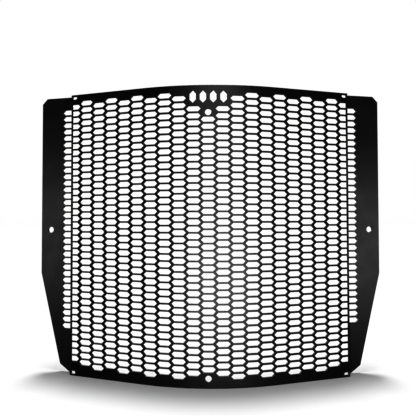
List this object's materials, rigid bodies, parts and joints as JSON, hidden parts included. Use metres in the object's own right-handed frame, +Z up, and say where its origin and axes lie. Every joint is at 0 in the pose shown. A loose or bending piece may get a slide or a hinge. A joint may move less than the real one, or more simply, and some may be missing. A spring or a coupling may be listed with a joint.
{
  "type": "radiator grille guard",
  "caption": "Rolled sheet-metal guard pierced all over with long hexagonal openings, with a set-back bolt-on wing along each side, for the front of a vehicle's radiator.",
  "frame": {"origin": "middle of the bottom of the guard's bounding box: halfway across it, halfway between its foremost line and the rear corners of the wings, level with the bottom edges", "axes": "+X across the guard to the right as its bulging front is faced, +Y to the rear, towards the radiator, +Z up"},
  "size_m": [0.3752, 0.0466, 0.303],
  "materials": {
    "powder_coat": "satin black powder coat with a very fine grain"
  },
  "bodies": {
    "root": {"centre_panel": "powder_coat", "left_wing": "powder_coat", "right_wing": "powder_coat"}
  },
  "joints": []
}
